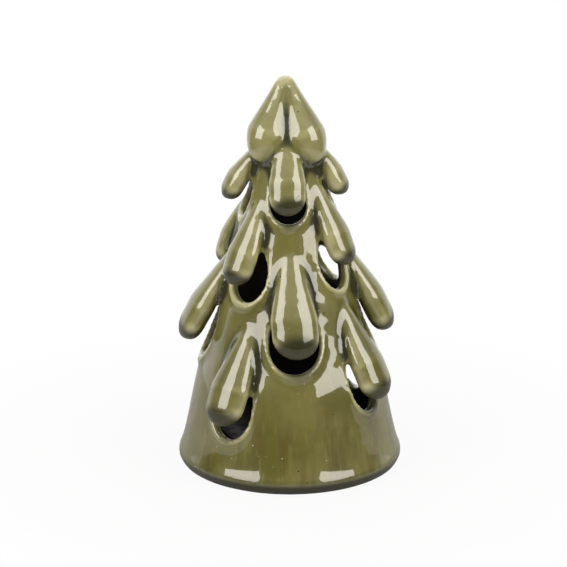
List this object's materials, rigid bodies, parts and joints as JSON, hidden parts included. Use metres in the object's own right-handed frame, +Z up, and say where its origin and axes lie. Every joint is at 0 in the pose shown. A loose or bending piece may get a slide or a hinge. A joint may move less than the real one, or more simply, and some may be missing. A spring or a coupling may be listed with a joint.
{
  "type": "led christmas tree decoration",
  "caption": "Glazed ceramic Christmas tree lantern with hanging tongues over cut windows, lit from inside by a battery LED unit set into its floor.",
  "frame": {"origin": "centre of the round foot, on the table", "axes": "+Z up to the tip, the pictured front faces -Y, +X is the object's side at the right of the picture"},
  "size_m": [0.099, 0.099, 0.18],
  "materials": {
    "olive_glaze": "glossy",
    "black_foam": "matte",
    "black_plastic": "satin",
    "cell_sleeve": "satin",
    "contact_metal": "satin",
    "board": "satin",
    "chip_black": "matte",
    "resistor_body": "matte",
    "lamp_epoxy": "clear",
    "frosted_cap": "frosted",
    "red_insulation": "satin",
    "black_insulation": "satin",
    "switch_metal": "satin",
    "screw_steel": "satin"
  },
  "bodies": {
    "tree": {"ceramic_tree": "olive_glaze", "sealing_ring": "black_foam", "unit_housing": "black_plastic", "unit_base": "black_plastic", "aaa_cell_1": "cell_sleeve", "aaa_cell_2": "cell_sleeve", "contact_join": "contact_metal", "contact_plus": "contact_metal", "contact_minus": "contact_metal", "contact_spring_1": "contact_metal", "contact_spring_2": "contact_metal", "circuit_board": "board", "flicker_chip": "chip_black", "resistor": "resistor_body", "led_lamp": "lamp_epoxy", "light_cap": "frosted_cap", "wire_plus": "red_insulation", "wire_minus": "black_insulation", "wire_switch": "black_insulation", "switch_can": "switch_metal", "base_screw_1": "screw_steel", "base_screw_2": "screw_steel", "base_screw_3": "screw_steel"},
    "battery_door": {"battery_door": "black_plastic"},
    "switch_knob": {"switch_knob": "black_plastic"}
  },
  "joints": [
    {"name": "door_hinge", "type": "hinge", "parent": "tree", "child": "battery_door", "pos_m": [0, 0.0114, 0.0006], "axis": [1, 0, 0], "range_deg": [0, 60]},
    {"name": "switch_slide", "type": "slide", "parent": "tree", "child": "switch_knob", "axis": [1, 0, 0], "range_m": [0, 0.004]}
  ]
}
